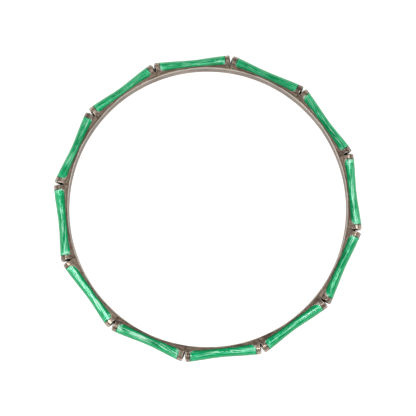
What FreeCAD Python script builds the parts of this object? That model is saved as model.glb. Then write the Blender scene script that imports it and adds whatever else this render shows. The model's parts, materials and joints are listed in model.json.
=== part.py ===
"""Slip-on bangle of twelve half-round bamboo canes in silver, each with a coat of glass enamel.

A plain silver band is the lining against the wrist. Twelve straight canes stand on it in a ring and
meet at the nodes, where their square ends leave a V notch. Each cane has a collar at both ends and a
waisted length between them, which is cut back to make the cell that its enamel coat fills.

Frame: the bangle lies flat, the axis of its bore is Z and the origin is the centre of the bore.
Cane 1 is centred on +X and the others follow it anticlockwise. The pattern that all canes share is
drawn in the XY plane, where X is the distance from the bore's axis and Y runs along the cane.
Lengths are in millimetres and angles in degrees.
"""

import FreeCAD, Part
import os

import Sketcher
from FreeCAD import Vector

CANE_COUNT = 12

DIMENSIONS = {
    # The lining band.
    "bore_radius": 31.9,
    "band_thickness": 0.35,
    "band_width": 6.0,
    "band_edge_radius": 0.12,
    # The ring of canes. An apothem is the distance of a straight line from the bore's axis.
    "cane_pitch_angle": 360 / CANE_COUNT,
    "cane_axis_apothem": 32.6,
    "sector_radius": 37.0,
    # The saddle under a cane. Its ledge is bowed, and highest at the middle of the cane.
    "ledge_mid_apothem": 32.36,
    "ledge_end_apothem": 32.14,
    # The cane: radii about its own axis, and half lengths along it.
    "waist_radius": 1.7,
    "shoulder_radius": 2.03,
    "collar_radius": 2.0,
    "collar_corner_radius": 0.3,
    "cell_half_length": 7.62,
    "crown_half_length": 8.87,
    "foot_half_length": 8.9,
    # The enamel coat. It reaches a little below the ledge, so that the ledge borders it.
    "enamel_thickness": 0.35,
    "enamel_sink": 0.04,
    "cell_corner_radius": 1.0,
    "cell_roof_apothem": 35.2,
}

# Sizes that several outlines use, as expressions of the sheet.
HALF_BAND = "Size.band_width / 2"
HALF_PITCH = "Size.cane_pitch_angle / 2"
BAND_OUTSIDE = "(Size.bore_radius + Size.band_thickness)"
SHOULDER = "Size.cane_axis_apothem + Size.shoulder_radius"
COLLAR = "Size.cane_axis_apothem + Size.collar_radius"
CELL_FOOT = "Size.ledge_end_apothem - Size.enamel_sink"
CELL_FLAT = "Size.cell_half_length - Size.cell_corner_radius"


def arc_radius(half_chord, rise):
    """The radius of the arc with this half chord and rise, all as expressions."""
    return f"(({half_chord})^2 + ({rise})^2) / (2 * ({rise}))"


BEND = "Size.cell_half_length / 2"
BEND_RISE = "(Size.shoulder_radius - Size.waist_radius) / 2"
BEND_APOTHEM = f"Size.cane_axis_apothem + Size.waist_radius + {BEND_RISE}"
WAIST_ARC = arc_radius(BEND, BEND_RISE)
LEDGE_RISE = "Size.ledge_mid_apothem - Size.ledge_end_apothem"
LEDGE_HALF = f"Size.ledge_end_apothem * tan({HALF_PITCH})"
LEDGE_ARC = arc_radius(LEDGE_HALF, LEDGE_RISE)
FOOT_ARC = arc_radius(CELL_FLAT, LEDGE_RISE)


def make_sheet(doc):
    sheet = doc.addObject("Spreadsheet::Sheet", "Size")
    for row, (alias, value) in enumerate(DIMENSIONS.items(), start=1):
        sheet.set(f"A{row}", alias)
        sheet.set(f"B{row}", str(value))
        sheet.setAlias(f"B{row}", alias)
    doc.recompute()
    return sheet


def waist_corners(inset=""):
    """The cane's flank from its first shoulder to its second, less an inset written "- ...".

    A hollow arc crosses the waist and a full arc of the same radius leads to each shoulder.
    """
    shoulder = f"{SHOULDER} {inset}"
    bend = f"{BEND_APOTHEM} {inset}"
    cell = "Size.cell_half_length"
    return [(shoulder, f"-{cell}"), (bend, f"-{BEND}"), (bend, BEND), (shoulder, cell)]


def middle_of_arc(start, end, radius, side):
    """The middle point of the short arc between two points. side is 1 where it bulges to the left."""
    chord = end - start
    left = Vector(-chord.y, chord.x, 0).normalize()
    rise = radius - (radius**2 - (chord.Length / 2) ** 2) ** 0.5
    return (start + end) / 2 + left * (side * rise)


def bind(sketch, constraint, expression):
    """Adds a constraint and ties its value to the sheet."""
    index = sketch.addConstraint(constraint)
    sketch.setExpression(f"Constraints[{index}]", expression)


def draw_outline(sketch, corners, arcs=None):
    """Draws a closed outline whose corners and arc radii follow expressions of the sheet.

    corners is a list of (x, y) expressions. arcs maps the number of a side, counted from the corner
    it starts at, to (radius expression, side), with side as in middle_of_arc. Other sides are lines.
    """
    arcs = arcs or {}

    def value(expression):
        return float(sketch.evalExpression(expression))

    points = [Vector(value(x), value(y), 0) for x, y in corners]
    ends = []
    for number, start in enumerate(points):
        end = points[(number + 1) % len(points)]
        if number in arcs:
            radius, side = arcs[number]
            middle = middle_of_arc(start, end, value(radius), side)
            sketch.addGeometry(Part.Arc(start, middle, end))
        else:
            sketch.addGeometry(Part.LineSegment(start, end))
        runs_forward = sketch.getPoint(number, 1).isEqual(start, 1e-6)
        ends.append((1, 2) if runs_forward else (2, 1))

    for number, (x, y) in enumerate(corners):
        before = (number - 1) % len(points)
        here = ends[number][0]
        sketch.addConstraint(Sketcher.Constraint("Coincident", before, ends[before][1], number, here))
        point = points[number]
        bind(sketch, Sketcher.Constraint("DistanceX", -1, 1, number, here, point.x), x)
        bind(sketch, Sketcher.Constraint("DistanceY", -1, 1, number, here, point.y), y)
    for number, (radius, _) in arcs.items():
        bind(sketch, Sketcher.Constraint("Radius", number, value(radius)), radius)


def make_sketch(doc, name, corners, arcs=None):
    sketch = doc.addObject("Sketcher::SketchObject", name)
    draw_outline(sketch, corners, arcs)
    return sketch


def make_prism(doc, name, sketch):
    """The sketch made as thick as the band is wide, half of it each side of the XY plane."""
    prism = doc.addObject("Part::Extrusion", name)
    prism.Base = sketch
    prism.DirMode = "Normal"
    prism.Symmetric = True
    prism.Solid = True
    prism.setExpression("LengthFwd", "Size.band_width")
    return prism


def make_turning(doc, name, sketch):
    """The sketch turned all the way round the cane's own axis."""
    turning = doc.addObject("Part::Revolution", name)
    turning.Source = sketch
    turning.Axis = Vector(0, 1, 0)
    turning.Angle = 360
    turning.Solid = True
    turning.setExpression("Base.x", "Size.cane_axis_apothem")
    return turning


def make_boolean(doc, kind, name, base, tool):
    result = doc.addObject(kind, name)
    result.Base = base
    result.Tool = tool
    return result


def make_inner_band(doc):
    """The lining: a thin plain band, its two edges against the wrist rounded off."""
    body = doc.addObject("PartDesign::Body", "inner_band")
    sketch = body.newObject("Sketcher::SketchObject", "band_profile")
    xz_plane = next(f for f in body.Origin.OriginFeatures if f.Role == "XZ_Plane")
    sketch.AttachmentSupport = [(xz_plane, "")]
    sketch.MapMode = "FlatFace"

    rounded = "Size.bore_radius + Size.band_edge_radius"
    wall = f"{HALF_BAND} - Size.band_edge_radius"
    corners = [
        (rounded, f"-({HALF_BAND})"),
        (BAND_OUTSIDE, f"-({HALF_BAND})"),
        (BAND_OUTSIDE, HALF_BAND),
        (rounded, HALF_BAND),
        ("Size.bore_radius", wall),
        ("Size.bore_radius", f"-({wall})"),
    ]
    edge = ("Size.band_edge_radius", -1)
    draw_outline(sketch, corners, {3: edge, 5: edge})

    ring = body.newObject("PartDesign::Revolution", "band_ring")
    ring.Profile = sketch
    ring.ReferenceAxis = (sketch, ["V_Axis"])
    ring.Angle = 360
    return body


def node_corner(radius, sign):
    """The point at this radius on the mitre of the node before (-) or after (+) cane 1."""
    return (f"{radius} * cos({HALF_PITCH})", f"{sign}{radius} * sin({HALF_PITCH})")


def make_sector(doc):
    """The slice of the ring that one cane may fill: from the band out, and from node to node."""
    outside = "Size.sector_radius"
    corners = [
        node_corner(BAND_OUTSIDE, "-"),
        node_corner(outside, "-"),
        node_corner(outside, "+"),
        node_corner(BAND_OUTSIDE, "+"),
    ]
    arcs = {1: (outside, -1), 3: (BAND_OUTSIDE, 1)}
    return make_prism(doc, "node_to_node_sector", make_sketch(doc, "sector_plan", corners, arcs))


def make_saddle(doc):
    """The base under a cane: it fills the wedge between the round band and the straight cane."""
    corners = [
        node_corner(BAND_OUTSIDE, "-"),
        ("Size.ledge_end_apothem", f"-{LEDGE_HALF}"),
        ("Size.ledge_end_apothem", LEDGE_HALF),
        node_corner(BAND_OUTSIDE, "+"),
    ]
    arcs = {1: (LEDGE_ARC, -1), 3: (BAND_OUTSIDE, 1)}
    return make_prism(doc, "saddle", make_sketch(doc, "saddle_plan", corners, arcs))


def make_bar(doc):
    """The round bar that the cane is the upper half of, with its collars and hollowed waist."""
    cell = "Size.cell_half_length"
    crown = "Size.crown_half_length"
    foot = "Size.foot_half_length"
    axis = "Size.cane_axis_apothem"
    below_corner = f"{COLLAR} - Size.collar_corner_radius"
    before_corner = f"{crown} - Size.collar_corner_radius"
    corners = [
        (axis, f"-{foot}"),
        (below_corner, f"-{crown}"),
        (COLLAR, f"-({before_corner})"),
        (COLLAR, f"-{cell}"),
        *waist_corners(),
        (COLLAR, cell),
        (COLLAR, before_corner),
        (below_corner, crown),
        (axis, foot),
    ]
    corner = ("Size.collar_corner_radius", -1)
    hollow = (WAIST_ARC, 1)
    full = (WAIST_ARC, -1)
    arcs = {1: corner, 4: full, 5: hollow, 6: full, 9: corner}
    return make_turning(doc, "cane_bar", make_sketch(doc, "bar_profile", corners, arcs))


def make_coat_tube(doc):
    """The enamel's thickness, all round the bar from collar to collar."""
    core = waist_corners("- Size.enamel_thickness")
    corners = waist_corners() + core[::-1]
    sides = {0: -1, 1: 1, 2: -1, 4: 1, 5: -1, 6: 1}
    arcs = {number: (WAIST_ARC, side) for number, side in sides.items()}
    return make_turning(doc, "coat_tube", make_sketch(doc, "coat_profile", corners, arcs))


def make_cell(doc):
    """The outline of the cell in side view: a bowed foot and two rounded lower corners."""
    cell = "Size.cell_half_length"
    above_corner = f"{CELL_FOOT} + Size.cell_corner_radius"
    roof = "Size.cell_roof_apothem"
    corners = [
        (CELL_FOOT, f"-({CELL_FLAT})"),
        (CELL_FOOT, CELL_FLAT),
        (above_corner, cell),
        (roof, cell),
        (roof, f"-{cell}"),
        (above_corner, f"-{cell}"),
    ]
    corner = ("Size.cell_corner_radius", -1)
    arcs = {0: (FOOT_ARC, -1), 1: corner, 5: corner}
    return make_prism(doc, "cell_prism", make_sketch(doc, "cell_plan", corners, arcs))


def place_round_ring(node, number):
    """Turns a node from the place of cane 1 to that of the cane with this number."""
    node.Placement = FreeCAD.Placement(Vector(0, 0, 0), FreeCAD.Rotation(Vector(0, 0, 1), 0))
    node.setExpression("Placement.Rotation.Angle", f"Size.cane_pitch_angle * {number - 1}")


def make_canes(doc):
    """Twelve silver canes and their twelve enamel coats, each a piece of its own."""
    half_bar = make_boolean(doc, "Part::Common", "mitred_cane", make_bar(doc), make_sector(doc))
    blank = make_boolean(doc, "Part::Fuse", "cane_on_saddle", half_bar, make_saddle(doc))
    tube = make_coat_tube(doc)
    cell = make_cell(doc)
    filling = make_boolean(doc, "Part::Common", "cell_filling", tube, cell)

    nodes = []
    for number in range(1, CANE_COUNT + 1):
        cane = make_boolean(doc, "Part::Cut", f"silver_cane_{number:02d}", blank, filling)
        coat = make_boolean(doc, "Part::Common", f"enamel_coat_{number:02d}", tube, cell)
        for node in (cane, coat):
            place_round_ring(node, number)
            nodes.append(node)
    return nodes


def check(doc, nodes):
    """Stops the build if any feature failed or any node isn't one sound solid."""
    for feature in doc.Objects:
        if "Invalid" in feature.State or "Error" in feature.State:
            raise RuntimeError(f"{feature.Label} failed to recompute")
    for node in nodes:
        shape = node.Shape
        if shape.isNull() or not shape.isValid() or len(shape.Solids) != 1:
            raise RuntimeError(f"{node.Label} isn't one valid solid")


def main():
    doc = FreeCAD.newDocument("bangle")
    make_sheet(doc)
    nodes = [make_inner_band(doc)] + make_canes(doc)
    doc.recompute()
    check(doc, nodes)
    os.makedirs("parts", exist_ok=True)
    for node in nodes:
        node.Shape.exportStep(f"parts/{node.Label}.step")
        print(f"{node.Label}: {node.Shape.Volume:.2f} mm3")


main()
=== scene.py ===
"""The looks of a slip-on bangle: twelve silver bamboo canes with green enamel on a silver lining band.

The meshes are drawn in millimetres in each cane's own axes and then moved to the row frame in metres:
u runs along the cane, v out from the bore's axis, and w along that axis. Sizes come from the frame.
"""

import json
import math

import bmesh
import bpy
import numpy as np
from mathutils import Matrix, Vector


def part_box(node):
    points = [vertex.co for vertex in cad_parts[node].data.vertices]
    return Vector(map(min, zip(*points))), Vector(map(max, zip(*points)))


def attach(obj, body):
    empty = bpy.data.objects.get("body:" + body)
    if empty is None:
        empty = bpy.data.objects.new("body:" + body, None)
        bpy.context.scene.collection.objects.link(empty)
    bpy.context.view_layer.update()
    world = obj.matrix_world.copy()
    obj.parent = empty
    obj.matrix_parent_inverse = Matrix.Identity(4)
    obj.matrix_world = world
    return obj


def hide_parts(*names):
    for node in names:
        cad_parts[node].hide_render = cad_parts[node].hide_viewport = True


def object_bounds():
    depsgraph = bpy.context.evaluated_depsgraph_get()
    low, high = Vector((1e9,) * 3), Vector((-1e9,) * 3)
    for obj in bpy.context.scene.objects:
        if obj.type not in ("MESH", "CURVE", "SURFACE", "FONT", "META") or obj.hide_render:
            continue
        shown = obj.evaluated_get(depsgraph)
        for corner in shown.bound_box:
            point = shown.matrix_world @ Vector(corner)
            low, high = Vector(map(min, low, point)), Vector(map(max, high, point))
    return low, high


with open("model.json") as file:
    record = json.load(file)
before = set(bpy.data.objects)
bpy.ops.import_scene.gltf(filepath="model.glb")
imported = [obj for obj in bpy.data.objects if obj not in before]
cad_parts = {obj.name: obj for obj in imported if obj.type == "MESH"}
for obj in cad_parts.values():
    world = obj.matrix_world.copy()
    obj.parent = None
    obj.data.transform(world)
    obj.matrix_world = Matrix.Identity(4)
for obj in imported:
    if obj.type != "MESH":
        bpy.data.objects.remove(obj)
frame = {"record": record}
cad_low, cad_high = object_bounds()

MM = 0.001
CANE_COUNT = 12
PITCH = math.radians(360 / CANE_COUNT)
MITRE = math.tan(PITCH / 2)

# ---------------------------------------------------------------- sizes, in millimetres


def top_corner_mm(node):
    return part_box(node)[1] / MM


BORE_MOUNT = next(m for m in frame["record"]["mounts"] if m["kind"] == "bore")
BORE_RADIUS = BORE_MOUNT["dims"]["r_mm"]
BAND_RADIUS = top_corner_mm("inner_band").x
HALF_BAND = top_corner_mm("inner_band").z
CELL_HALF = top_corner_mm("enamel_coat_01").y
SHOULDER_RADIUS = top_corner_mm("enamel_coat_01").z
CANE_AXIS = top_corner_mm("enamel_coat_01").x - SHOULDER_RADIUS
COLLAR_RADIUS = top_corner_mm("silver_cane_01").x - CANE_AXIS

# The enamel: its waist, thickness, gap to the silver round it, sunken border and corners.
WAIST_DROP = 0.30
COAT_THICKNESS = 0.33
COAT_SET_BACK = 0.015
MENISCUS = 0.02
CELL_CORNER = 1.0
# The cane's ends. Two canes all but touch at the middle of their joint. To each side of the middle
# both are cut back by the slit gap.
CROWN_HALF = 8.87
FACE_BULGE = 0.06
END_CORNER = 0.28
JOINT_GAP = 0.006
SLIT_GAP = 0.20
# The saddle: its bowed ledge above the lining, and its rounded edges.
LEDGE_RISE = 0.05
LEDGE_DROP = 0.33
SIDE_ROUND = 0.13
EDGE_ROUND = 0.03
# The lip that borders the enamel's foot, and the fillet between it and the ledge.
LIP_WIDTH = 0.03
LIP_HEIGHT = 0.04
FOOT_ROUND = 0.03
# The lining.
BAND_EDGE = 0.12

# How pale the streaks of each cane's enamel are, from 0 to 1: painted light, higher on the canes that are
# lit more brightly.
PAINTED_LIGHT_BY_CANE = (1.0, 0.3, 0.0, 0.35, 0.1, 0.15, 0.8, 0.9, 1.0, 0.45, 0.4, 0.3)

# Edges sharper than this are drawn sharp.
SHARP_ANGLE_DEG = 40

rng = np.random.default_rng(1207)


# ---------------------------------------------------------------- mesh helpers


def smooth_step(x):
    x = np.clip(x, 0.0, 1.0)
    return x * x * (3 - 2 * x)


def ripple(a, b, wavelength, phases):
    """A smooth uneven wave over two coordinates, from about -1 to 1."""
    p, q, r, s = phases
    k = 2 * math.pi / wavelength
    wave = np.sin(k * a + p + 1.3 * np.sin(0.61 * k * b + q))
    wave = wave + np.sin(0.73 * k * b + r + 1.1 * np.sin(0.47 * k * a + s))
    return 0.4 * wave + 0.2 * np.sin(1.9 * k * (a + 0.6 * b) + p + s)


def make_piece(name, points, faces, material, place, attributes):
    """A mesh piece in the row frame, from points in millimetres. place is three numbers a point, and
    each attribute is one."""
    mesh = bpy.data.meshes.new(name)
    mesh.from_pydata((np.asarray(points) * MM).tolist(), [], faces)
    layer = mesh.attributes.new("place", "FLOAT_VECTOR", "POINT")
    layer.data.foreach_set("vector", np.asarray(place, np.float32).ravel())
    for key, values in attributes.items():
        layer = mesh.attributes.new(key, "FLOAT", "POINT")
        layer.data.foreach_set("value", np.asarray(values, np.float32).ravel())
    shell = bmesh.new()
    shell.from_mesh(mesh)
    bmesh.ops.recalc_face_normals(shell, faces=shell.faces)
    shell.to_mesh(mesh)
    shell.free()
    mesh.materials.append(material)
    mesh.polygons.foreach_set("use_smooth", [True] * len(mesh.polygons))
    mesh.set_sharp_from_angle(angle=math.radians(SHARP_ANGLE_DEG))
    piece = bpy.data.objects.new(name, mesh)
    bpy.context.scene.collection.objects.link(piece)
    return piece


def grid_faces(rows, columns, start=0, loop=False, flip=False):
    """Quads over a grid of rows by columns of points, whose columns may close into a loop."""
    faces = []
    for i in range(rows - 1):
        for j in range(columns if loop else columns - 1):
            k = (j + 1) % columns
            a = start + i * columns + j
            b = start + i * columns + k
            c = b + columns
            d = a + columns
            faces.append((a, d, c, b) if flip else (a, b, c, d))
    return faces


def to_row(u, v, w, angle):
    """Points in a cane's axes, moved to the row frame: the cane's middle lies at this angle."""
    x = v * math.cos(angle) - u * math.sin(angle)
    y = v * math.sin(angle) + u * math.cos(angle)
    return np.stack([x, y, w], -1)


# ---------------------------------------------------------------- the shape of a cane


class Cane:
    """The hand-made differences of one cane, in millimetres. A pair holds a value for each end."""

    def __init__(self, number):
        self.number = number
        self.angle = (number - 1) * PITCH
        self.waist_drop = WAIST_DROP * rng.uniform(0.7, 1.2)
        self.waist_shift = rng.uniform(-0.8, 0.8)
        # How much the enamel lies lower at the middle and at its ends, and how much an end is shorter.
        self.low = rng.uniform(0.0, 0.04)
        self.end_low = rng.uniform(0.0, 0.04, 2)
        self.short = rng.uniform(-0.02, 0.24, 2)
        self.dome = rng.uniform(0.0, 0.10, 2)
        self.end_corner = END_CORNER * rng.uniform(0.7, 1.25, 2)
        self.cell_corner = CELL_CORNER * (0.85 + 1.1 * rng.uniform(0, 1, 2) ** 2.5)
        self.lip_low = rng.uniform(-0.05, 0.08, 2)
        self.phases = rng.uniform(0, 2 * math.pi, (4, 4))

    def pick(self, pair, u):
        return np.where(np.asarray(u) > 0, pair[1], pair[0])

    def coat_radius(self, u):
        """The radius of the finished enamel: waisted like bamboo between its nodes."""
        s = np.clip(np.abs(u) / CELL_HALF, 0, 1)
        bend = u - self.waist_shift * (1 - s**2)
        waist = self.waist_drop * 0.5 * (1 + np.cos(math.pi * np.clip(np.abs(bend) / CELL_HALF, 0, 1)))
        ends = self.pick(self.end_low, u) * smooth_step(s)
        return SHOULDER_RADIUS - waist - self.low * (1 - s) - ends

    def ledge(self, u):
        end = BAND_RADIUS * MITRE
        return BAND_RADIUS + LEDGE_RISE - LEDGE_DROP * (u / end) ** 2

    def foot_angle(self, u, radius):
        """The angle from the crown at which the flank meets the fillet on the ledge."""
        return np.arccos((self.ledge(u) + FOOT_ROUND - CANE_AXIS) / radius)

    def coat_angle(self, u):
        """The angle from the crown at which the enamel ends: at the lip, or at a rounded corner."""
        radius = self.coat_radius(u)
        wander = 0.20 * np.clip(ripple(u, 0, 7.0, self.phases[0]), 0, 1) ** 1.5
        width = LIP_WIDTH + wander + self.pick(self.lip_low, u) * smooth_step(np.abs(u) / CELL_HALF)
        lip = self.foot_angle(u, radius) - np.maximum(width, 0.02) / radius
        corner = self.pick(self.cell_corner, u)
        into = np.clip((np.abs(u) - CELL_HALF + corner) / corner, 0, 1)
        rise = corner * (1 - np.sqrt(1 - into**2))
        height = radius * np.cos(lip) + rise
        return np.minimum(lip, np.arccos(np.clip(height / radius, -1, 1)))

    def end_reach(self, v, w, u):
        """How far from the middle the cane's end lies at a height and width: on its face, or on the
        mitre, where the canes all but touch along the middle and leave a slit to each side."""
        open_side = smooth_step((v - BAND_RADIUS + 0.1) / 0.5) * smooth_step((np.abs(w) - 0.2) / 1.3)
        gap = JOINT_GAP + SLIT_GAP * open_side
        mitre = v * MITRE - gap
        lean = (CANE_AXIS + COLLAR_RADIUS - v) / COLLAR_RADIUS
        dome = self.pick(self.dome, u) * (1 - np.clip(np.abs(w) / 1.5, 0, 1) ** 2)
        face = CROWN_HALF - self.pick(self.short, u) + FACE_BULGE * lean + dome
        soft = 0.06
        blend = np.clip(0.5 + 0.5 * (face - mitre) / soft, 0, 1)
        return face + (mitre - face) * blend - soft * blend * (1 - blend)


# ---------------------------------------------------------------- the silver of a cane

ARC_STEPS = 24
LIP_STEPS = 5
FILLET_STEPS = 3
LEDGE_STEPS = 4
ROUND_STEPS = 4
SIDE_STEPS = 5
UNDER_STEPS = 4
CORNER_STEPS = 5
CAP_RINGS = 4
CAP_CENTRE = 32.0
# The places that the patterns follow are moved apart by these, so that no two pieces look alike.
CANE_PLACE_STEP = 20.0
COAT_PLACE_STEP = 9.0
BAND_PLACE = 500.0


def half_section(cane, u, in_cell, rim):
    """One side of the silver's section, from the crown to the middle of the underside. rim lowers the
    collar's edge beside the cell. It gives v, w, the share that the end's corner rounds, wear with a
    painted highlight, and painted shade with tarnish."""
    coat = float(cane.coat_radius(u))
    limit = float(cane.coat_angle(min(abs(u), CELL_HALF - 1e-4) * (1 if u > 0 else -1)))
    outer = coat if in_cell else COLLAR_RADIUS - rim
    foot = float(cane.foot_angle(u, outer))
    beyond = smooth_step((abs(u) - CELL_HALF) / 0.5)
    limit = limit + (foot - LIP_WIDTH / outer - limit) * beyond
    floor = coat - COAT_THICKNESS if in_cell else outer
    v, w, soft, wear_and_sheen, shade_and_tarnish = [], [], [], [], []

    def add(pv, pw, share, worn_sheen, shade_and_tarnish_share):
        v.append(pv)
        w.append(pw)
        soft.append(share)
        wear_and_sheen.append(worn_sheen)
        shade_and_tarnish.append(shade_and_tarnish_share)

    # The last two values of each point are wear with a painted highlight, and painted shade with tarnish.
    # The painted shade darkens a collar's crown, the crease round the cane's foot, the ledge beside the
    # foot, the side face towards its edges, the underside and the silver under the enamel.
    for i in range(ARC_STEPS + 1):
        phi = limit * i / ARC_STEPS
        # Painted shade: a collar is darkened along its crown.
        crown_shade = 0.6 * (1 - float(smooth_step((phi - 0.3) / 0.4)))
        add(CANE_AXIS + floor * math.cos(phi), floor * math.sin(phi), 1, 0.25 if in_cell else 0.1,
            1.0 if in_cell else crown_shade)
    for i in range(LIP_STEPS + 1):
        t = i / LIP_STEPS
        phi = limit + (foot - limit) * t
        radius = outer + (LIP_HEIGHT * math.sin(math.pi * t) if in_cell else 0)
        # Wear and painted highlight: the lip is made bright along its middle, so that it glints.
        lip_wear_and_sheen = 0.25 + (0.75 * math.sin(math.pi * t) if in_cell else 0)
        add(CANE_AXIS + radius * math.cos(phi), radius * math.sin(phi), 1 - 0.5 * t, lip_wear_and_sheen, 0.5 * t)
    ledge = float(cane.ledge(u))
    start_v, start_w = v[-1], w[-1]
    for i in range(1, FILLET_STEPS + 1):
        t = i / FILLET_STEPS
        pv = start_v * (1 - t) ** 2 + ledge * (1 - (1 - t) ** 2)
        add(pv, start_w + FOOT_ROUND * t * t, 0.5 * (1 - t), 0, 1)
    bottom = math.sqrt((BAND_RADIUS + JOINT_GAP) ** 2 - u**2)
    rounding = min(SIDE_ROUND, 0.6 * (ledge - bottom))
    first = w[-1]
    last = HALF_BAND - rounding
    for i in range(1, LEDGE_STEPS + 1):
        t = i / LEDGE_STEPS
        add(ledge, first + (last - first) * t, 0, 0.2 * t, 1 - t)
    for i in range(1, ROUND_STEPS + 1):
        turn = 0.5 * math.pi * i / ROUND_STEPS
        add(ledge - rounding * (1 - math.cos(turn)), last + rounding * math.sin(turn), 0,
            0.1 * math.sin(2 * turn), 0.55)
    top = ledge - rounding
    for i in range(1, SIDE_STEPS + 1):
        t = i / SIDE_STEPS
        add(top + (bottom + EDGE_ROUND - top) * t, HALF_BAND, 0, 0, 0.45 * (1 - t) ** 3 + 0.4 * t**5)
    add(bottom, HALF_BAND - EDGE_ROUND, 0, 0, 0.8)
    for i in range(1, UNDER_STEPS + 1):
        add(bottom, (HALF_BAND - EDGE_ROUND) * (1 - i / UNDER_STEPS), 0, 0, 1)
    return [np.array(column, float) for column in (v, w, soft, wear_and_sheen, shade_and_tarnish)]


def cane_stations():
    """Where the sections of one half stand: u, whether it is inside the cell, how much the collar's
    edge is lowered there, and how far it is on the way from the cell to the end."""
    stations = [(u, True, 0, 0) for u in np.linspace(0, CELL_HALF - 1.3, 24)]
    stations += [(u, True, 0, 0) for u in np.linspace(CELL_HALF - 1.2, CELL_HALF - 0.001, 15)]
    stations += [(CELL_HALF, False, 0.07, 0.0), (CELL_HALF + 0.02, False, 0.03, 0.03)]
    for t in np.linspace(0.08, 1, 9):
        stations.append((CELL_HALF + t * (CROWN_HALF - END_CORNER - CELL_HALF), False, 0, t))
    return stations


def cane_rings(cane):
    """The half sections from one end of the cane to the other. Each comes with u, how far it is on the
    way from the cell to the end, and how far round the end's corner, from 0 to 1."""
    half = cane_stations()
    stations = [(-u, cell, rim, t) for u, cell, rim, t in reversed(half[1:])] + half
    rings = [(u, t, 0.0, half_section(cane, u, in_cell, rim)) for u, in_cell, rim, t in stations]
    steps = [i / CORNER_STEPS for i in range(1, CORNER_STEPS + 1)]
    (low_u, _, _, low_section), (high_u, _, _, high_section) = rings[0], rings[-1]
    low_corner = [(low_u, 1.0, step, low_section) for step in reversed(steps)]
    high_corner = [(high_u, 1.0, step, high_section) for step in steps]
    return low_corner + rings + high_corner


def whole_ring(half, sign=1):
    """The values of one side of a section, carried on round its other side."""
    return np.concatenate([half, sign * half[-2:0:-1]])


def finish_ring(cane, u, t, corner_step, section):
    """One ring of the skin, moved to where the cane's end is: its u, v, w, wear with a painted highlight,
    and painted shade with tarnish.
    """
    v, w, soft, wear_and_sheen, shade_and_tarnish = section
    corner = float(cane.pick(cane.end_corner, u))
    turn = 0.5 * math.pi * corner_step
    shrink = soft * corner * (1 - math.cos(turn))
    length = np.hypot(v - CANE_AXIS, w) + 1e-9
    new_v = v - shrink * (v - CANE_AXIS) / length
    new_w = w - shrink * w / length
    new_u = np.full_like(v, u)
    if t > 0:
        reach = cane.end_reach(new_v, new_w, u) - corner * (1 - math.sin(turn))
        reach = np.where(soft > 0, reach, cane.end_reach(new_v, new_w, u) - 0.1 * (1 - corner_step))
        new_u = math.copysign(1, u) * (CELL_HALF + t * (reach - CELL_HALF))
    # Wear and painted highlight along the rounded corner of the end.
    tip_wear_and_sheen = wear_and_sheen + 0.6 * soft * math.sin(2 * turn) * (turn < 0.9)
    # Painted shade with tarnish: the end faces are darkened near the joint, so that the slits between
    # canes look dark, and round the end's corner.
    joint_shade = smooth_step((np.abs(new_u) - new_v * MITRE + 0.28) / 0.28)
    joint_shade = np.maximum(joint_shade, soft * smooth_step((turn - 0.6) / 0.5))
    shade_and_tarnish_share = np.maximum(shade_and_tarnish, joint_shade)
    return (whole_ring(new_u), whole_ring(new_v), whole_ring(new_w, -1),
            whole_ring(tip_wear_and_sheen), whole_ring(shade_and_tarnish_share))


def cap_end(cane, u, v, w, side, count):
    """Closes one end of the skin with rings that shrink to a point. count is how many points there are
    so far. It gives the new points in the cane's axes, and the faces."""
    rows, columns = u.shape
    row = 0 if side < 0 else rows - 1
    ring = np.arange(row * columns, (row + 1) * columns)
    edge_gap = np.abs(u[row]) - cane.end_reach(v[row], w[row], side)
    points, faces = [], []
    for k in range(1, CAP_RINGS + 1):
        t = k / CAP_RINGS
        is_point = k == CAP_RINGS
        cap_v = v[row] + (CAP_CENTRE - v[row]) * t
        cap_w = w[row] * (1 - t)
        cap_u = side * (cane.end_reach(cap_v, cap_w, side) + edge_gap * (1 - t))
        cap = np.stack([cap_u, cap_v, cap_w], -1)
        if is_point:
            cap = cap[:1]
        points.append(cap)
        new = np.arange(count, count + len(cap))
        count += len(cap)
        for j in range(columns):
            n = (j + 1) % columns
            face = (ring[j], ring[n], new[0]) if is_point else (ring[j], ring[n], new[n], new[j])
            faces.append(tuple(int(f) for f in (face[::-1] if side < 0 else face)))
        ring = new
    return np.concatenate(points), faces


def make_silver_cane(cane, material):
    """The silver of one cane as a single closed skin: rings of points along it, and a cap on each end."""
    rings = [finish_ring(cane, *ring) for ring in cane_rings(cane)]
    u, v, w, wear_and_sheen, shade_and_tarnish = (np.array(column) for column in zip(*rings))
    dent(cane, u, v, w)
    polish = smooth_step((np.hypot(v - CANE_AXIS, w) - 1.7) / 0.2) * smooth_step((v - CANE_AXIS) / 0.3)
    parts = [np.stack([u, v, w], -1).reshape(-1, 3)]
    faces = grid_faces(*u.shape, loop=True)
    count = u.size
    for side in (-1, 1):
        cap, cap_faces = cap_end(cane, u, v, w, side, count)
        parts.append(cap)
        faces += cap_faces
        count += len(cap)
    own = np.concatenate(parts)
    on_caps = count - u.size
    # The caps on the ends get full painted shade with tarnish.
    attributes = {
        "wear_and_sheen": np.concatenate([wear_and_sheen.ravel(), np.zeros(on_caps)]),
        "shade_and_tarnish": np.concatenate([shade_and_tarnish.ravel(), np.ones(on_caps)]),
        "polish": np.concatenate([polish.ravel(), np.zeros(on_caps)]),
    }
    place = own + np.array([0, 0, CANE_PLACE_STEP * cane.number])
    name = f"cane_silver_{cane.number:02d}"
    piece = make_piece(name, to_row(*own.T, cane.angle), faces, material, place, attributes)
    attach(piece, "root")
    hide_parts(f"silver_cane_{cane.number:02d}")


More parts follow.
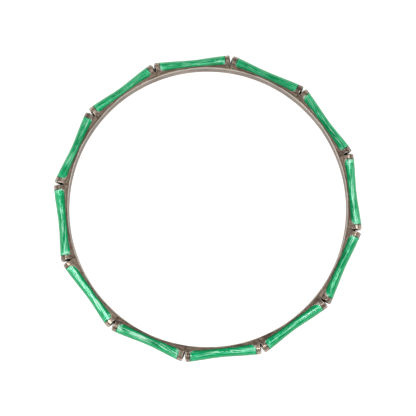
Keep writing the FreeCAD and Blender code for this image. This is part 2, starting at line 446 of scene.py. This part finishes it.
def dent(cane, u, v, w):
    """Hand-finishing, which moves the points it is given: the collars are a little uneven, and the
    sides are dished inwards."""
    radius = np.hypot(v - CANE_AXIS, w)
    on_bar = smooth_step((v - CANE_AXIS) / 0.6) * smooth_step((radius - 1.2) / 0.3)
    around = np.arctan2(w, v - CANE_AXIS) * COLLAR_RADIUS
    inward = 0.022 * (1 + ripple(u, around, 1.9, cane.phases[1])) * on_bar
    inward = inward * smooth_step((np.abs(u) - CELL_HALF - 0.02) / 0.2)
    v -= inward * (v - CANE_AXIS) / (radius + 1e-9)
    w -= inward * w / (radius + 1e-9)
    on_side = smooth_step((np.abs(w) - HALF_BAND + 0.02) / 0.02) * (v < CANE_AXIS)
    dish = 0.02 * (1 + ripple(u, v, 1.3, cane.phases[2])) * on_side
    w -= np.sign(w) * dish


# ---------------------------------------------------------------- the enamel of a cane

COAT_COLUMNS = 61
COAT_ROWS_MIDDLE = 90
COAT_ROWS_CORNER = 14


def coat_lengths(cane):
    """Where the enamel's rows stand: even along the cane, and close together round the corners."""
    half_turn = np.linspace(0, 0.5 * math.pi, COAT_ROWS_CORNER)
    reach = CELL_HALF - COAT_SET_BACK
    low_corner, high_corner = cane.cell_corner
    low = -reach + low_corner - low_corner * np.sin(half_turn[::-1])
    high = reach - high_corner + high_corner * np.sin(half_turn)
    lit_mid_flank = np.linspace(low[-1], high[0], COAT_ROWS_MIDDLE + 2)[1:-1]
    return np.concatenate([low, lit_mid_flank, high])


def make_coat(cane, material):
    """The fired enamel of one cane: a glassy skin with soft ripples, pulled down along its border."""
    u_line = coat_lengths(cane)
    limit = cane.coat_angle(u_line) - COAT_SET_BACK / SHOULDER_RADIUS
    spread = np.linspace(-1, 1, COAT_COLUMNS)
    spread = np.sign(spread) * (1 - (1 - np.abs(spread)) ** 1.35)
    u = np.repeat(u_line[:, None], COAT_COLUMNS, 1)
    phi = limit[:, None] * spread[None, :]
    radius = np.repeat(cane.coat_radius(u_line)[:, None], COAT_COLUMNS, 1)
    from_side = (limit[:, None] - np.abs(phi)) * radius
    from_end = CELL_HALF - COAT_SET_BACK - np.abs(u)
    border = np.minimum(from_side, from_end)
    around = phi * radius
    surface = radius - MENISCUS * (1 - smooth_step(border / 0.2)) ** 2
    inside = smooth_step(border / 0.5)
    surface = surface - 0.012 * inside * (1 + ripple(u * 0.35, around, 1.1, cane.phases[3]))
    surface = surface - 0.010 * inside * (1 + ripple(u, around * 0.8, 3.1, cane.phases[1]))
    under = radius - COAT_THICKNESS + 0.01
    rows, columns = u.shape
    skins = []
    for skin in (surface, under):
        v = CANE_AXIS + skin * np.cos(phi)
        skins.append(to_row(u, v, skin * np.sin(phi), cane.angle).reshape(-1, 3))
    count = rows * columns
    faces = grid_faces(rows, columns) + grid_faces(rows, columns, start=count, flip=True)
    rim = [(0, j) for j in range(columns)] + [(i, columns - 1) for i in range(1, rows)]
    rim += [(rows - 1, j) for j in range(columns - 2, -1, -1)] + [(i, 0) for i in range(rows - 2, 0, -1)]
    rim = [i * columns + j for i, j in rim]
    for a, b in zip(rim, rim[1:] + rim[:1]):
        faces.append((b, a, a + count, b + count))
    place = np.stack([u, around, np.full_like(u, COAT_PLACE_STEP * cane.number)], -1).reshape(-1, 3)
    flank = np.abs(phi) / limit.max()
    attributes = {
        "flank": np.tile(flank.ravel(), 2),
        "border": np.tile(border.ravel(), 2),
        "to_end": np.tile(from_end.ravel(), 2),
        "painted_light": np.full(2 * count, PAINTED_LIGHT_BY_CANE[cane.number - 1]),
    }
    name = f"cane_enamel_{cane.number:02d}"
    piece = make_piece(name, np.concatenate(skins), faces, material, np.tile(place, (2, 1)), attributes)
    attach(piece, "root")
    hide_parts(f"enamel_coat_{cane.number:02d}")


# ---------------------------------------------------------------- the lining band

BAND_STEPS = 480
BAND_EDGE_STEPS = 6
BAND_WALL_POINTS = 17


def band_edge(wall_radius, inward, side, turns):
    """One rounded edge of the strip: radius, w, and wear with a painted highlight. inward is 1 where the
    metal lies outside the wall and -1 where it lies inside it."""
    return [(wall_radius + inward * BAND_EDGE * (1 - math.cos(turn)),
             side * (HALF_BAND - BAND_EDGE * (1 - math.sin(turn))), math.sin(2 * turn)) for turn in turns]


def make_band(material):
    """The lining: a strip bent into a ring, with rounded edges that are slightly worn and brightened with
    a painted highlight.
    """
    edge = BAND_EDGE
    rising = [0.5 * math.pi * i / BAND_EDGE_STEPS for i in range(BAND_EDGE_STEPS + 1)]
    falling = [0.5 * math.pi * (1 - i / BAND_EDGE_STEPS) for i in range(BAND_EDGE_STEPS + 1)]
    bore, outside = (BORE_RADIUS, 1), (BAND_RADIUS, -1)
    section = []
    for side, start, end in ((1, bore, outside), (-1, outside, bore)):
        section += band_edge(*start, side, rising) + band_edge(*end, side, falling)
        walls = np.linspace(1, -1, BAND_WALL_POINTS)[1:-1] * (HALF_BAND - edge) * side
        section += [(end[0], w, 0.0) for w in walls]
    section = np.array(section)
    turn = np.linspace(0, 2 * math.pi, BAND_STEPS, endpoint=False)[:, None]
    columns = len(section)
    radius = section[None, :, 0] + 0 * turn
    w = section[None, :, 1] + 0 * turn
    on_bore = radius < BORE_RADIUS + 0.5 * edge
    radius = radius + on_bore * 0.006 * (1 + np.sin(23 * turn + 2 * np.sin(7 * turn + w)))
    points = np.stack([radius * np.cos(turn), radius * np.sin(turn), w], -1).reshape(-1, 3)
    faces = grid_faces(BAND_STEPS, columns, loop=True)
    count = BAND_STEPS * columns
    last = count - columns
    for j in range(columns):
        k = (j + 1) % columns
        faces.append((last + j, last + k, k, j))
    # Wear and painted highlight: the bore is made bright towards each rim, more at the upper rim than at
    # the lower, and along its rounded corners.
    rim_wear_and_sheen = smooth_step((np.abs(w) - 1.9) / 0.7) * np.where(w > 0, 0.75, 0.35) * on_bore
    corner_wear_and_sheen = section[None, :, 2] * (radius < BORE_RADIUS + 1.2 * edge)
    wear_and_sheen = np.maximum(corner_wear_and_sheen, rim_wear_and_sheen).ravel()
    # Painted shade: the middle of the bore is darkened.
    shade_and_tarnish = (0.30 * (1 - smooth_step((np.abs(w) - 0.9) / 1.0)) * on_bore).ravel()
    place = points + np.array([0, 0, BAND_PLACE])
    attributes = {"wear_and_sheen": wear_and_sheen, "shade_and_tarnish": shade_and_tarnish, "polish": np.zeros(count)}
    piece = make_piece("lining_band", points, faces, material, place, attributes)
    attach(piece, "root")
    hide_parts("inner_band")


# ---------------------------------------------------------------- materials


class Shader:
    """A node material under construction: short calls that add a node and wire its inputs."""

    def __init__(self, name):
        self.material = bpy.data.materials.new(name)
        self.material.use_nodes = True
        self.tree = self.material.node_tree
        self.bsdf = self.tree.nodes["Principled BSDF"]

    def put(self, socket, value):
        if isinstance(value, bpy.types.NodeSocket):
            self.tree.links.new(value, socket)
        else:
            socket.default_value = value

    def attribute(self, name, output):
        node = self.tree.nodes.new("ShaderNodeAttribute")
        node.attribute_name = name
        return node.outputs[output]

    def number(self, name):
        return self.attribute(name, "Fac")

    def vector(self, name):
        return self.attribute(name, "Vector")

    def math(self, operation, a, b=0.0, c=0.0):
        node = self.tree.nodes.new("ShaderNodeMath")
        node.operation = operation
        for socket, value in zip(node.inputs, (a, b, c)):
            self.put(socket, value)
        return node.outputs[0]

    def stretch(self, vector, scale):
        node = self.tree.nodes.new("ShaderNodeMapping")
        self.put(node.inputs["Vector"], vector)
        node.inputs["Scale"].default_value = scale
        return node.outputs[0]

    def slant(self, vector, angle):
        """The place turned by an angle about its third axis, so that lines run aslant."""
        node = self.tree.nodes.new("ShaderNodeMapping")
        self.put(node.inputs["Vector"], vector)
        node.inputs["Rotation"].default_value = (0, 0, angle)
        return node.outputs[0]

    def noise(self, vector, scale, detail=2.0, roughness=0.5, distortion=0.0):
        node = self.tree.nodes.new("ShaderNodeTexNoise")
        self.put(node.inputs["Vector"], vector)
        node.inputs["Scale"].default_value = scale
        node.inputs["Detail"].default_value = detail
        node.inputs["Roughness"].default_value = roughness
        node.inputs["Distortion"].default_value = distortion
        return node.outputs["Fac"]

    def span(self, value, low, high, to_low=0.0, to_high=1.0):
        node = self.tree.nodes.new("ShaderNodeMapRange")
        node.interpolation_type = "SMOOTHSTEP"
        for socket, number in zip(node.inputs, (value, low, high, to_low, to_high)):
            self.put(socket, number)
        return node.outputs[0]

    def blend(self, factor, a, b):
        node = self.tree.nodes.new("ShaderNodeMix")
        node.data_type = "RGBA"
        self.put(node.inputs["Factor"], factor)
        for socket, value in ((node.inputs[6], a), (node.inputs[7], b)):
            self.put(socket, value if isinstance(value, bpy.types.NodeSocket) else (*value, 1.0))
        return node.outputs[2]

    def bump(self, height, strength, distance_mm, normal=None):
        node = self.tree.nodes.new("ShaderNodeBump")
        node.inputs["Strength"].default_value = strength
        node.inputs["Distance"].default_value = distance_mm * MM
        self.put(node.inputs["Height"], height)
        if normal is not None:
            self.put(node.inputs["Normal"], normal)
        return node.outputs[0]


WARM_GREY = (0.440, 0.340, 0.266)
BROWN_GREY = (0.148, 0.104, 0.077)
# Dark tarnish, used for the specks and for the painted shade.
TARNISH_AND_SHADE = (0.030, 0.021, 0.015)
# Worn silver, also the colour of the painted highlights.
WORN_SHEEN_SILVER = (0.83, 0.79, 0.71)


def silver(name, brightness, blotch, brush):
    """Old silver: warm grey with brown tarnish and painted shade in its recesses, brushed lines, and worn
    edges brightened with a painted highlight. brightness scales the two greys, blotch is the mottling's
    share of the tone, and brush is how fine the brushed grain is in each direction of the place."""
    s = Shader(name)
    place = s.vector("place")
    mottle = s.noise(place, 0.55, 4.0, 0.6, 0.4)
    patches = s.noise(place, 0.16, 2.0, 0.5)
    grain = s.noise(s.stretch(place, brush), 1.0, 3.0, 0.6)
    pits = s.noise(place, 5.0, 3.0, 0.55)
    mix = s.math("ADD", s.math("MULTIPLY", mottle, blotch), s.math("MULTIPLY", grain, 1 - blotch))
    mix = s.math("ADD", mix, s.math("MULTIPLY", s.math("SUBTRACT", patches, 0.5), 0.5))
    tone = s.span(mix, 0.32, 0.68)
    low = tuple(c * brightness for c in BROWN_GREY)
    high = tuple(c * brightness for c in WARM_GREY)
    colour = s.blend(tone, low, high)
    specks = s.span(pits, 0.30, 0.44, 0.55, 0.0)
    colour = s.blend(specks, colour, TARNISH_AND_SHADE)
    # Painted shade with tarnish where the mesh marks it, broken up by the mottle.
    shade_and_tarnish_share = s.math("MULTIPLY", s.number("shade_and_tarnish"), s.span(mottle, 0.25, 0.7, 1.0, 0.62))
    colour = s.blend(s.math("MULTIPLY", shade_and_tarnish_share, 0.88), colour, TARNISH_AND_SHADE)
    # Wear and painted highlight: bright worn silver where the mesh marks it, broken up by the grain.
    worn_sheen = s.math("MULTIPLY", s.number("wear_and_sheen"), s.span(grain, 0.35, 0.65, 0.25, 1.0))
    colour = s.blend(s.math("MULTIPLY", worn_sheen, 0.8), colour, WORN_SHEEN_SILVER)
    s.put(s.bsdf.inputs["Base Color"], colour)
    s.put(s.bsdf.inputs["Metallic"], 1.0)
    rough = s.math("ADD", s.span(grain, 0.3, 0.7, 0.40, 0.56), s.math("MULTIPLY", shade_and_tarnish_share, 0.15))
    rough = s.math("SUBTRACT", rough, s.math("MULTIPLY", s.number("polish"), 0.17))
    s.put(s.bsdf.inputs["Roughness"], s.math("SUBTRACT", rough, s.math("MULTIPLY", worn_sheen, 0.14)))
    relief = s.bump(grain, 0.10, 0.04)
    relief = s.bump(pits, 0.12, 0.03, relief)
    relief = s.bump(mottle, 0.25, 0.12, relief)
    s.put(s.bsdf.inputs["Normal"], relief)
    return s.material


DEEP_GREEN = (0.0001, 0.35, 0.115)
# The colour of painted shade on the enamel.
PAINTED_SHADE_GREEN = (0.001, 0.05, 0.020)
MID_GREEN = (0.001, 0.55, 0.211)
MINT_GREEN = (0.34, 0.88, 0.59)
# The colour of the painted glints.
PAINTED_GLINT = (0.78, 1.0, 0.88)

# How the patterns are stretched: a small first number draws them out along the cane.
STREAK_STRETCH = (0.13, 1.9, 1.0)
LINE_STRETCH = (0.22, 6.0, 1.0)
HATCH_STRETCH = (2.6, 0.9, 1.0)
LINE_SLANT = 0.045


def enamel(name):
    """Clear green glass over engraved silver: streaks and fine lines run along the cane, paled with
    painted light on the middle of the flank and on the more brightly lit canes, among painted glints and
    painted dark reflections. Painted shade deepens the colour at the crown and at the ends, and it is
    frosted beside the collars."""
    s = Shader(name)
    place = s.vector("place")
    slanted = s.slant(place, LINE_SLANT)
    streaks = s.noise(s.stretch(slanted, STREAK_STRETCH), 1.0, 3.0, 0.6, 0.25)
    lines = s.noise(s.stretch(slanted, LINE_STRETCH), 1.0, 2.0, 0.6)
    hatch = s.noise(s.stretch(place, HATCH_STRETCH), 1.0, 2.0, 0.5, 0.6)
    clouds = s.noise(place, 0.45, 2.0, 0.5)
    mix = s.math("ADD", s.math("MULTIPLY", streaks, 0.35), s.math("MULTIPLY", lines, 0.50))
    mix = s.math("ADD", mix, s.math("MULTIPLY", clouds, 0.15))
    light = s.span(mix, 0.455, 0.55)
    flank = s.number("flank")
    # Painted light: the streaks are paled most on the middle of the flank, where the highlights fall, and
    # kept deep towards the crown and the foot.
    lit_mid_flank = s.math("MULTIPLY", s.span(flank, 0.36, 0.62), s.span(flank, 0.72, 0.92, 1.0, 0.0))
    light = s.math("MULTIPLY", light, s.math("MULTIPLY_ADD", lit_mid_flank, 0.85, 0.15))
    # Painted light: a cane's streaks are paled by how brightly that cane is lit.
    painted_light = s.number("painted_light")
    light = s.math("MULTIPLY", light, s.math("MULTIPLY_ADD", painted_light, 0.5, 0.5))
    to_end = s.number("to_end")
    frost = s.math("MULTIPLY", s.span(to_end, 0.10, 2.2, 1.0, 0.0), s.span(hatch, 0.40, 0.55, 0.1, 1.0))
    frost = s.math("MULTIPLY", frost, s.math("MULTIPLY_ADD", painted_light, 0.5, 0.5))
    light = s.math("MAXIMUM", light, s.math("MULTIPLY", frost, s.span(flank, 0.2, 0.6, 0.3, 1.0)))
    colour = s.blend(s.span(light, 0.0, 0.45), DEEP_GREEN, MID_GREEN)
    colour = s.blend(s.span(light, 0.35, 0.85), colour, MINT_GREEN)
    # Painted glints: thin pale lines on the middle of the flank, stronger on the more brightly lit canes.
    painted_glint = s.math("MULTIPLY", s.span(lines, 0.55, 0.62), s.span(clouds, 0.42, 0.54))
    painted_glint_share = s.math("MULTIPLY", lit_mid_flank, s.math("MULTIPLY_ADD", painted_light, 0.7, 0.3))
    painted_glint = s.math("MULTIPLY", painted_glint, painted_glint_share)
    colour = s.blend(s.math("MULTIPLY", painted_glint, 0.9), colour, PAINTED_GLINT)
    # Painted dark reflections: thin near-black lines on the middle of the flank.
    painted_dark_reflection = s.math("MULTIPLY", s.span(lines, 0.36, 0.45, 0.9, 0.0), s.span(clouds, 0.44, 0.56, 1.0, 0.35))
    painted_dark_reflection = s.math("MULTIPLY", painted_dark_reflection, lit_mid_flank)
    colour = s.blend(painted_dark_reflection, colour, PAINTED_SHADE_GREEN)
    # Painted shade along the crown.
    colour = s.blend(s.span(flank, 0.06, 0.36, 0.6, 0.0), colour, PAINTED_SHADE_GREEN)
    # Painted shadow of the collars across each end of the enamel.
    colour = s.blend(s.span(to_end, 0.02, 0.26, 0.95, 0.0), colour, PAINTED_SHADE_GREEN)
    s.put(s.bsdf.inputs["Base Color"], colour)
    s.put(s.bsdf.inputs["Metallic"], 0.38)
    s.put(s.bsdf.inputs["Specular IOR Level"], 0.0)
    s.put(s.bsdf.inputs["Roughness"], s.span(lines, 0.3, 0.7, 0.22, 0.38))
    s.put(s.bsdf.inputs["Coat Weight"], s.span(flank, 0.05, 0.45, 0.35, 1.0))
    s.put(s.bsdf.inputs["Coat Roughness"], 0.04)
    s.put(s.bsdf.inputs["Coat IOR"], 1.35)
    engraved = s.bump(lines, 0.7, 0.08)
    engraved = s.bump(streaks, 0.35, 0.12, engraved)
    s.put(s.bsdf.inputs["Normal"], engraved)
    glaze = s.bump(streaks, 0.25, 0.07)
    glaze = s.bump(hatch, 0.03, 0.03, glaze)
    s.put(s.bsdf.inputs["Coat Normal"], glaze)
    return s.material


# ---------------------------------------------------------------- the studio

VIEW_TURN = math.radians(6)
VIEW_TILT = math.radians(5)
VIEW_DISTANCE = 417 * MM
LENS = 157.4
SENSOR = 36.0
VIEW_RIGHT = Vector((math.cos(VIEW_TURN), -math.sin(VIEW_TURN), 0))
VIEW_UP = Vector((math.sin(VIEW_TURN), math.cos(VIEW_TURN), 0))
AIM = 0.078 * MM * VIEW_RIGHT - 0.085 * MM * VIEW_UP
FLOOR_HALF_METRES = 1.2
FLOOR_GAP = 0.02
SKY_STRENGTH = 0.38

# The soft boxes: name, azimuth and height in degrees, distance, width and length in mm, and watts.
SOFTBOXES = (
    ("low_right_light", 290, 50, 450, 360, 10, 0.40),
    ("far_light", 110, 55, 450, 360, 320, 0.42),
    ("left_light", 207, 42, 450, 300, 110, 0.75),
    ("right_light", 2, 42, 450, 260, 60, 0.46),
)


def towards(azimuth_deg, height_deg):
    """The direction at an azimuth, anticlockwise from the picture's right, and a height."""
    azimuth, height = math.radians(azimuth_deg), math.radians(height_deg)
    flat = math.cos(azimuth) * VIEW_RIGHT + math.sin(azimuth) * VIEW_UP
    return math.cos(height) * flat + math.sin(height) * Vector((0, 0, 1))


def add_camera():
    camera = bpy.data.objects.new("view", bpy.data.cameras.new("view"))
    bpy.context.scene.collection.objects.link(camera)
    back = Vector((0, 0, 1)) * math.cos(VIEW_TILT) - VIEW_UP * math.sin(VIEW_TILT)
    up = back.cross(VIEW_RIGHT)
    turn = Matrix((VIEW_RIGHT, up, back)).transposed().to_4x4()
    camera.matrix_world = Matrix.Translation(AIM + back * VIEW_DISTANCE) @ turn
    camera.data.lens = LENS
    camera.data.sensor_width = SENSOR
    camera.data.clip_start = 0.01
    camera.data.clip_end = 20
    bpy.context.scene.camera = camera


def add_softbox(name, azimuth_deg, height_deg, distance_mm, width_mm, length_mm, watts):
    data = bpy.data.lights.new(name, "AREA")
    data.shape = "RECTANGLE"
    data.size = width_mm * MM
    data.size_y = length_mm * MM
    data.energy = watts
    lamp = bpy.data.objects.new(name, data)
    bpy.context.scene.collection.objects.link(lamp)
    way = towards(azimuth_deg, height_deg)
    lamp.location = way * distance_mm * MM
    lamp.rotation_euler = way.to_track_quat("Z", "Y").to_euler()


def add_floor():
    """A large pale sheet that also glows, so that the bangle throws almost no shadow on it."""
    rim = FLOOR_HALF_METRES
    low = cad_low[2] - FLOOR_GAP * MM
    mesh = bpy.data.meshes.new("floor")
    mesh.from_pydata([(-rim, -rim, low), (rim, -rim, low), (rim, rim, low), (-rim, rim, low)], [],
                     [(0, 1, 2, 3)])
    s = Shader("pale_floor")
    s.put(s.bsdf.inputs["Base Color"], (0.5, 0.5, 0.495, 1))
    s.put(s.bsdf.inputs["Roughness"], 0.9)
    s.put(s.bsdf.inputs["Specular IOR Level"], 0.1)
    s.put(s.bsdf.inputs["Emission Color"], (1, 1, 1, 1))
    s.put(s.bsdf.inputs["Emission Strength"], 0.84)
    mesh.materials.append(s.material)
    floor = bpy.data.objects.new("floor", mesh)
    bpy.context.scene.collection.objects.link(floor)


def add_sky(strength):
    world = bpy.data.worlds.new("studio")
    bpy.context.scene.world = world
    world.use_nodes = True
    background = world.node_tree.nodes["Background"]
    background.inputs["Color"].default_value = (1.0, 0.985, 0.96, 1)
    background.inputs["Strength"].default_value = strength


# ---------------------------------------------------------------- the whole scene

add_camera()
add_floor()
add_sky(SKY_STRENGTH)
for softbox in SOFTBOXES:
    add_softbox(*softbox)

cane_silver = silver("old_silver", brightness=1.0, blotch=0.55, brush=(0.6, 3.0, 3.0))
band_silver = silver("lining_silver", brightness=0.82, blotch=0.2, brush=(0.25, 0.25, 5.0))
green_enamel = enamel("green_enamel")
canes = [Cane(number) for number in range(1, CANE_COUNT + 1)]
for cane in canes:
    make_silver_cane(cane, cane_silver)
    make_coat(cane, green_enamel)
make_band(band_silver)

bpy.context.scene.view_settings.view_transform = "Standard"
